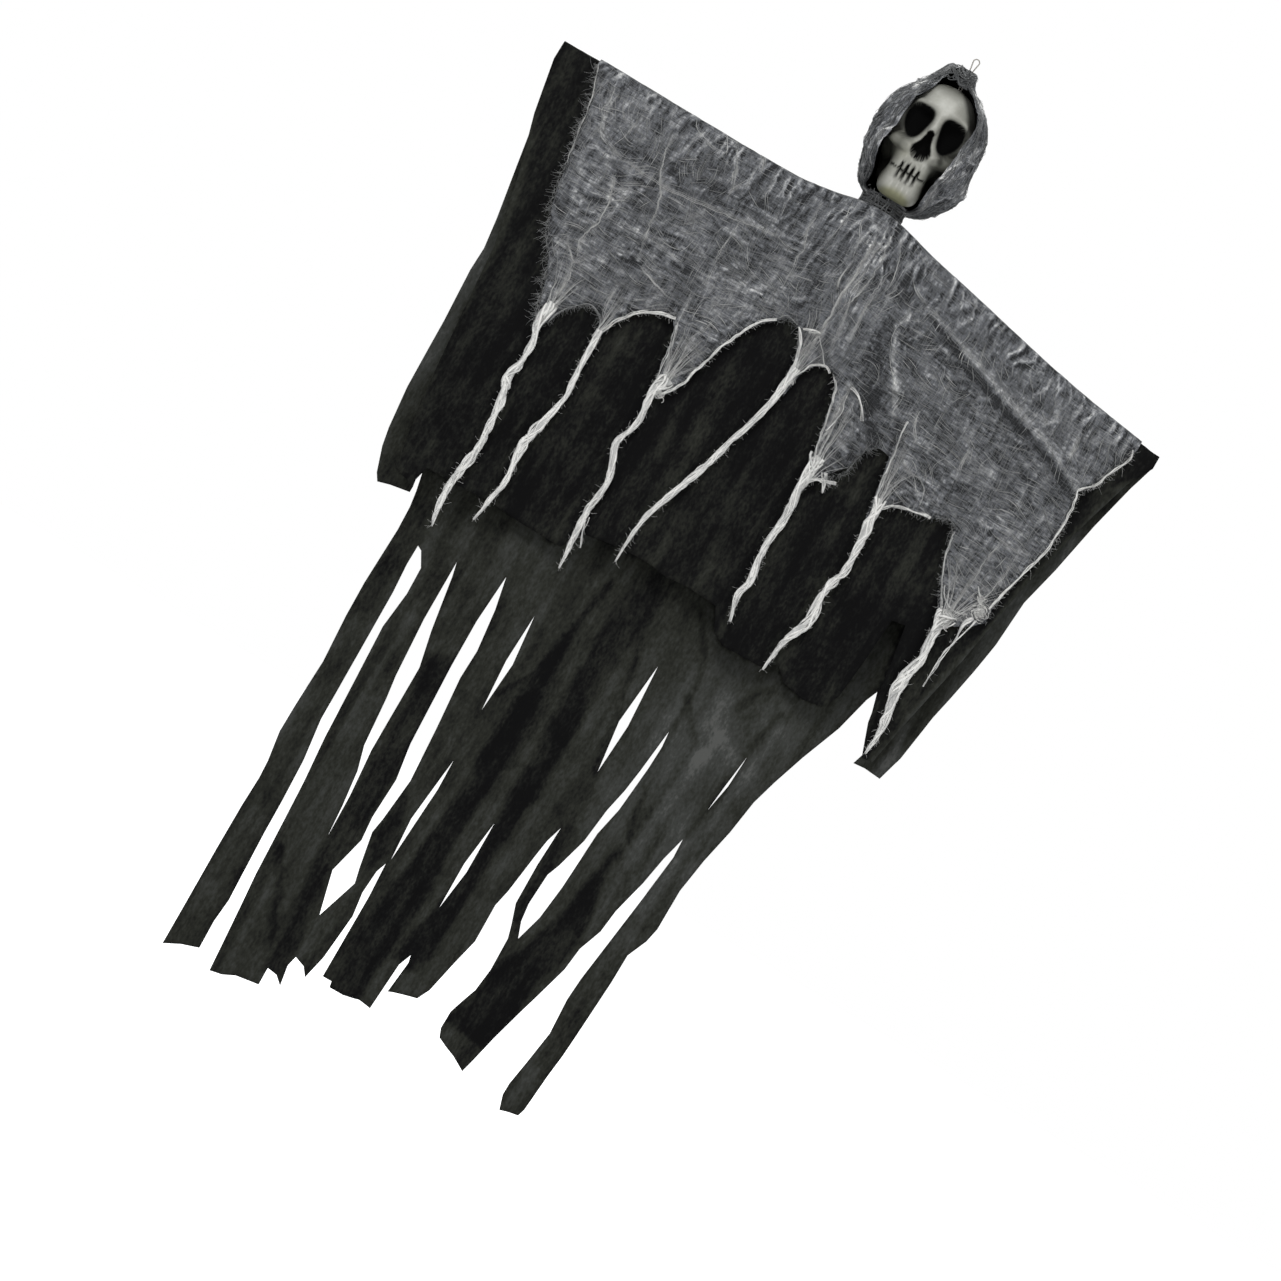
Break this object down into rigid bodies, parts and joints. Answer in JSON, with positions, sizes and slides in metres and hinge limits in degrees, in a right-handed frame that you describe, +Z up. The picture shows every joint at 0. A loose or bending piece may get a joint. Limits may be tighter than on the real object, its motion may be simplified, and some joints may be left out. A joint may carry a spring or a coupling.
{
  "type": "hanging fabric ghost",
  "caption": "Hanging party decoration: a moulded skull in a gauze hood over a torn gauze cape and a long black robe cut into strips, on a loop of string.",
  "frame": {"origin": "top of the hanging loop, where it lies on a hook", "axes": "+Z up as it hangs; the face looks along -Y; +X runs to its left arm, on the right of the picture"},
  "size_m": [0.5691, 0.0955, 0.928],
  "materials": {
    "aged_plastic": "moulded hard plastic, grey-olive with dark painted eye sockets, nose and tooth gaps",
    "black_cloth": "thin black non-woven cloth, mottled where one layer shows",
    "grey_gauze": "loose-woven pale grey gauze, frayed edges and twisted tails",
    "steel_wire": "plain drawn steel wire",
    "black_cord": "thin black twisted cord",
    "grey_string": "thin grey-brown twisted string"
  },
  "bodies": {
    "root": {"skull": "aged_plastic", "hood_lining": "black_cloth", "hood_gauze": "grey_gauze", "gauze_cape": "grey_gauze", "robe": "black_cloth", "shoulder_wire": "steel_wire", "neck_tie": "black_cord", "hanging_string": "grey_string"}
  },
  "joints": []
}
